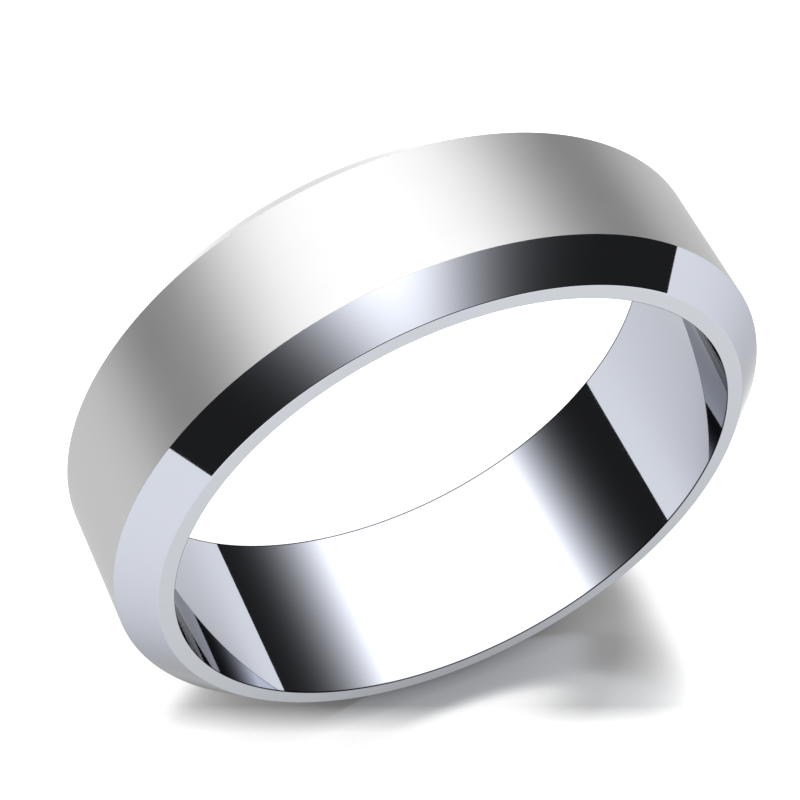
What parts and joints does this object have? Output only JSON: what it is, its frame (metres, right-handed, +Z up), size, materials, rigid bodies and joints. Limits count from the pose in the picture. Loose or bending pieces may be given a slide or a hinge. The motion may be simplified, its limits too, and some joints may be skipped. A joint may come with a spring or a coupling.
{
  "type": "wedding band",
  "caption": "Plain white-metal wedding band with a flat satin outer face, polished bevelled edges, narrow flat rims and a polished straight finger bore.",
  "frame": {"origin": "centre of the finger bore, halfway between the two rims", "axes": "+Y along the finger bore, from the front rim to the rear rim; +Z up with the ring standing on its outer face, which touches the surface at z = -10.35 mm; +X across the bore"},
  "size_m": [0.0208, 0.006, 0.0208],
  "materials": {
    "polished_metal": "mirror-polished white metal with a cool tint, as rhodium-plated white gold has",
    "satin_metal": "fine even satin, neutral white metal"
  },
  "bodies": {
    "root": {"ring_body": "polished_metal", "satin_centre_band": "satin_metal"}
  },
  "joints": []
}
